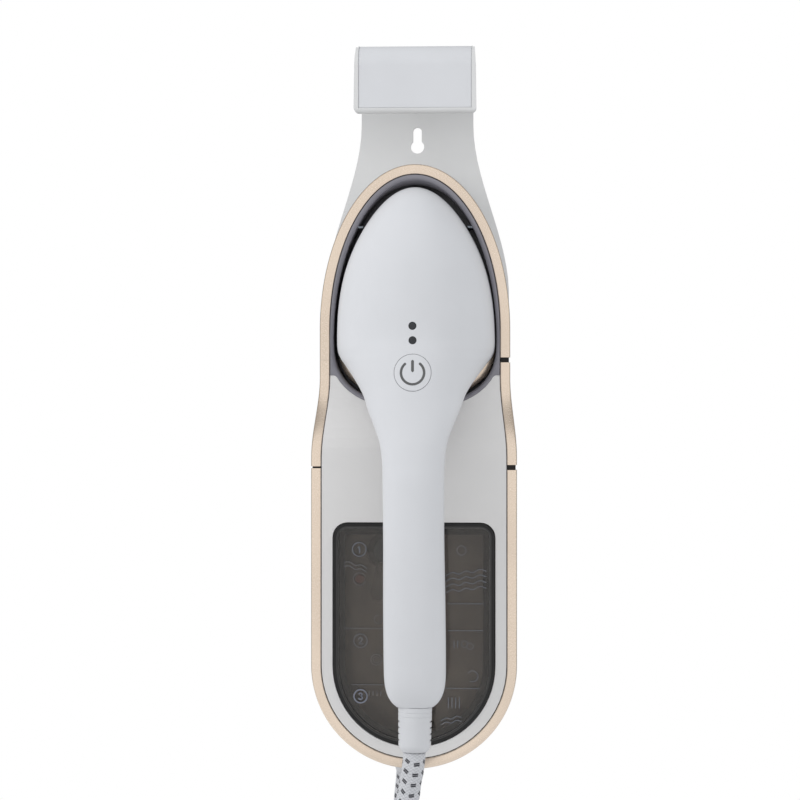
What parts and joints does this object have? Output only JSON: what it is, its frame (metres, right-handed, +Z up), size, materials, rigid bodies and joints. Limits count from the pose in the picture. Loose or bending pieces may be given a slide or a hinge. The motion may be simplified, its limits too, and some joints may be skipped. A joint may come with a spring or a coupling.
{
  "type": "garment steamer",
  "caption": "Wall-hung garment steamer: a flat base with a hook, a docked steam iron with a long handle, a slide-out water tank and a steam hose stored in a tied coil.",
  "frame": {"origin": "centre of the keyhole's round hole on the wall plane", "axes": "+Z up, front towards -Y, wall plane at y = 0, +X to the right as seen from the front"},
  "size_m": [0.17, 0.115, 0.7003],
  "materials": {
    "white_plastic": "satin",
    "gold_plate": "satin metallic",
    "gunmetal_plastic": "satin",
    "black_plastic": "matte",
    "smoked_plastic": "clear, smoked",
    "grey_plastic": "matte",
    "steel": "plain",
    "ceramic_plate": "coated",
    "cast_aluminium": "cast",
    "circuit_board": "lacquered",
    "black_rubber": "matte",
    "silicone": "translucent",
    "white_rubber": "matte",
    "hose_cover": "woven",
    "smoked_lens": "smoked, glossy",
    "led_lens": "dark, translucent"
  },
  "bodies": {
    "base": {"rear_shell": "white_plastic", "hook_cover": "white_plastic", "front_shell": "white_plastic", "trim_carrier": "black_plastic", "trim_arch": "gold_plate", "trim_left": "gold_plate", "trim_right": "gold_plate", "trim_lower": "gold_plate", "dock_bezel": "gunmetal_plastic", "dock_cup": "black_plastic", "dock_pads": "silicone", "tank_bay": "white_plastic", "pump": "steel", "pump_cradle": "black_rubber", "control_board": "circuit_board", "board_parts": "black_plastic", "valve_probe": "grey_plastic", "inlet_seal": "black_rubber", "suction_tube": "silicone", "delivery_tube": "silicone", "hose_gland": "black_rubber", "cord_bush": "black_rubber", "shell_screws": "steel", "hose_front_run": "hose_cover", "hose_coil": "hose_cover", "hose_return_run": "hose_cover", "hose_tie": "black_plastic"},
    "tank": {"tank_shell": "smoked_plastic", "tank_seal": "black_rubber", "tank_lens": "smoked_lens", "tank_frame": "black_plastic", "tank_cap": "grey_plastic", "tank_clips": "black_plastic", "tank_valve": "grey_plastic", "valve_spring": "steel"},
    "poppet": {"valve_poppet": "black_rubber"},
    "iron": {"iron_front_shell": "white_plastic", "iron_rear_shell": "white_plastic", "head_trim": "gold_plate", "soleplate": "ceramic_plate", "heat_shield": "black_plastic", "steam_chamber": "cast_aluminium", "thermostat": "steel", "handle_board": "circuit_board", "button_switch": "black_plastic", "led_lenses": "led_lens", "trigger_switch": "black_plastic", "steam_pipe": "silicone", "hose_clamp": "black_plastic", "hose_boot": "white_rubber", "iron_screws": "steel", "trigger_pin": "steel"},
    "button": {"power_button": "white_plastic", "button_plunger": "grey_plastic"},
    "trigger": {"steam_trigger": "grey_plastic", "trigger_spring": "steel"}
  },
  "joints": [
    {"name": "iron_lift", "type": "slide", "parent": "base", "child": "iron", "axis": [0, -1, 0], "range_m": [0, 0.06]},
    {"name": "tank_slide", "type": "slide", "parent": "base", "child": "tank", "axis": [0, -1, 0], "range_m": [0, 0.021]},
    {"name": "poppet_lift", "type": "slide", "parent": "tank", "child": "poppet", "axis": [0, 1, 0], "range_m": [0, 0.0015]},
    {"name": "power_press", "type": "slide", "parent": "iron", "child": "button", "axis": [0, 1, 0], "range_m": [0, 0.0008], "stiffness_N_per_m": 1500, "springref_m": -0.0005},
    {"name": "trigger_pull", "type": "hinge", "parent": "iron", "child": "trigger", "pos_m": [0.0012, -0.0866, -0.19719], "axis": [-1, 0, -0.0087], "range_deg": [0, 5], "stiffness_Nm_per_rad": 1.2, "springref_deg": -1.72}
  ],
  "couplings": [
    {"joint": "poppet_lift", "follows": "tank_slide", "ratio": 0.0714}
  ]
}
